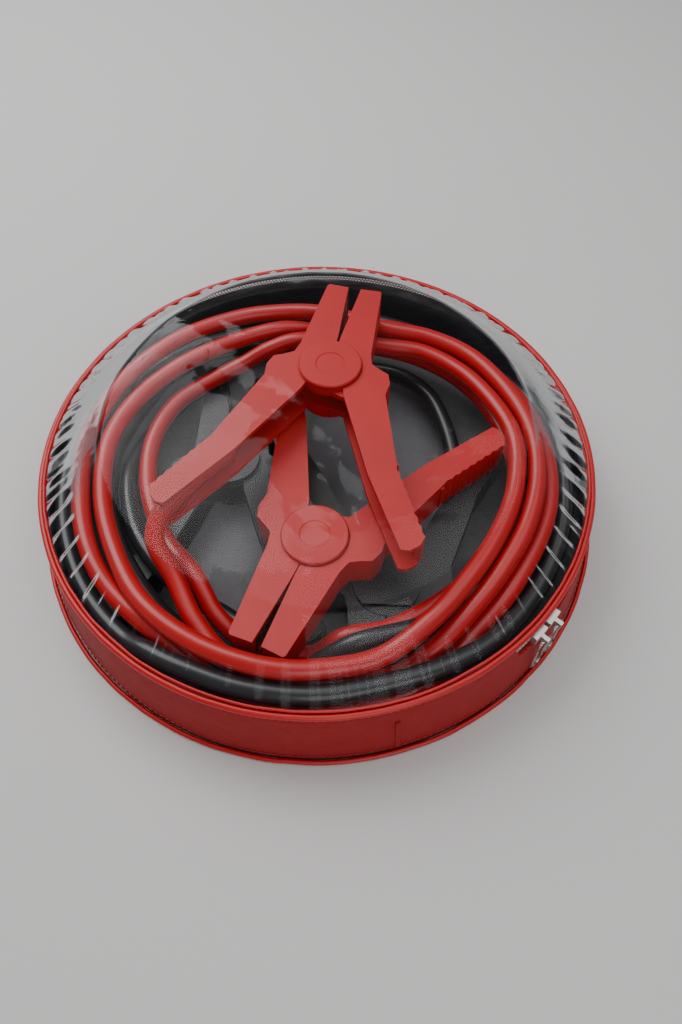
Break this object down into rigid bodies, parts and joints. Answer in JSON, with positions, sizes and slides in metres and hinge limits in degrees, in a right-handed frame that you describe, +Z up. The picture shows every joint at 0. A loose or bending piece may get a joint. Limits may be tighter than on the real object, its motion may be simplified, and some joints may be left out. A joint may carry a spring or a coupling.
{
  "type": "car_jumper_cable_set",
  "caption": "Car jumper cables, one red and one black, with insulated clamps, coiled in a round zip bag with a clear lid",
  "frame": {"origin": "centre of the flat underside of the bag", "axes": "+Z up through the clear lid, +Y away from the viewer, +X to the right"},
  "size_m": [0.3228, 0.3228, 0.0764],
  "materials": {
    "red_plastic": "moulded, fine grain",
    "black_plastic": "moulded, fine grain",
    "red_sheath": "smooth soft sheath",
    "black_sheath": "smooth soft sheath",
    "red_fabric": "woven, coated",
    "red_piping": "smooth piping",
    "black_fabric": "thin crinkled lining and tape",
    "grey_fabric": "creased, coated",
    "clear_film": "clear, puckered at its edge",
    "steel": "bright zinc plated"
  },
  "bodies": {
    "bag": {"bottom_panel": "grey_fabric", "side_wall": "red_fabric", "lining": "black_fabric", "bottom_piping": "red_piping", "top_piping_fixed": "red_piping", "zip_tape_lower": "black_fabric", "zip_teeth_lower": "steel", "window_film_fixed": "clear_film", "red_cable": "red_sheath", "black_cable": "black_sheath", "red_clamp_upper_handle_still": "red_plastic", "red_clamp_upper_round_cap": "red_plastic", "red_clamp_upper_flat_cap": "red_plastic", "red_clamp_upper_spring": "steel", "red_clamp_upper_teeth_still": "steel", "red_clamp_lower_handle_still": "red_plastic", "red_clamp_lower_round_cap": "red_plastic", "red_clamp_lower_flat_cap": "red_plastic", "red_clamp_lower_spring": "steel", "red_clamp_lower_teeth_still": "steel", "black_clamp_right_handle_still": "black_plastic", "black_clamp_right_round_cap": "black_plastic", "black_clamp_right_flat_cap": "black_plastic", "black_clamp_right_spring": "steel", "black_clamp_right_teeth_still": "steel", "black_clamp_left_handle_still": "black_plastic", "black_clamp_left_round_cap": "black_plastic", "black_clamp_left_flat_cap": "black_plastic", "black_clamp_left_spring": "steel", "black_clamp_left_teeth_still": "steel"},
    "lid": {"window_film_lid": "clear_film", "top_piping_lid": "red_piping", "zip_tape_upper": "black_fabric", "zip_teeth_upper": "steel"},
    "red_clamp_upper_jaw": {"red_clamp_upper_handle_moving": "red_plastic", "red_clamp_upper_teeth_moving": "steel"},
    "red_clamp_lower_jaw": {"red_clamp_lower_handle_moving": "red_plastic", "red_clamp_lower_teeth_moving": "steel"},
    "black_clamp_right_jaw": {"black_clamp_right_handle_moving": "black_plastic", "black_clamp_right_teeth_moving": "steel"},
    "black_clamp_left_jaw": {"black_clamp_left_handle_moving": "black_plastic", "black_clamp_left_teeth_moving": "steel"},
    "slider_left": {"slider_left": "steel"},
    "slider_left_pull": {"slider_left_pull": "steel"},
    "slider_right": {"slider_right": "steel"},
    "slider_right_pull": {"slider_right_pull": "steel"}
  },
  "joints": [
    {"name": "lid_fold", "type": "hinge", "parent": "bag", "child": "lid", "pos_m": [-0.0252, -0.042, 0.0764], "axis": [0.8571, -0.5151, 0], "range_deg": [0, 110]},
    {"name": "red_clamp_upper_pivot", "type": "hinge", "parent": "bag", "child": "red_clamp_upper_jaw", "pos_m": [0.007, 0.036, 0.0622], "axis": [0, 0, -1], "range_deg": [0, 20], "stiffness_Nm_per_rad": 0.6},
    {"name": "red_clamp_lower_pivot", "type": "hinge", "parent": "bag", "child": "red_clamp_lower_jaw", "pos_m": [-0.0003, -0.059, 0.0385], "axis": [0, 0, 1], "range_deg": [0, 2], "stiffness_Nm_per_rad": 0.6},
    {"name": "black_clamp_right_pivot", "type": "hinge", "parent": "bag", "child": "black_clamp_right_jaw", "pos_m": [0.037, -0.075, 0.0148], "axis": [0, 0, -1], "range_deg": [0, 1.8], "stiffness_Nm_per_rad": 0.6},
    {"name": "black_clamp_left_pivot", "type": "hinge", "parent": "bag", "child": "black_clamp_left_jaw", "pos_m": [-0.052, 0.007, 0.0148], "axis": [0, 0, 1], "range_deg": [0, 4], "stiffness_Nm_per_rad": 0.6},
    {"name": "slider_left_run", "type": "hinge", "parent": "bag", "child": "slider_left", "pos_m": [0, 0, 0.0367], "axis": [0, 0, 1], "range_deg": [-3, 0]},
    {"name": "slider_left_pull_swing", "type": "hinge", "parent": "slider_left", "child": "slider_left_pull", "pos_m": [0.11241, -0.11046, 0.0366], "axis": [-0.7009, -0.7133, 0], "range_deg": [0, 100]},
    {"name": "slider_right_run", "type": "hinge", "parent": "bag", "child": "slider_right", "pos_m": [0, 0, 0.0367], "axis": [0, 0, 1], "range_deg": [0, 190]},
    {"name": "slider_right_pull_swing", "type": "hinge", "parent": "slider_right", "child": "slider_right_pull", "pos_m": [0.1202, -0.10193, 0.0366], "axis": [-0.6468, -0.7627, 0], "range_deg": [0, 100]}
  ]
}
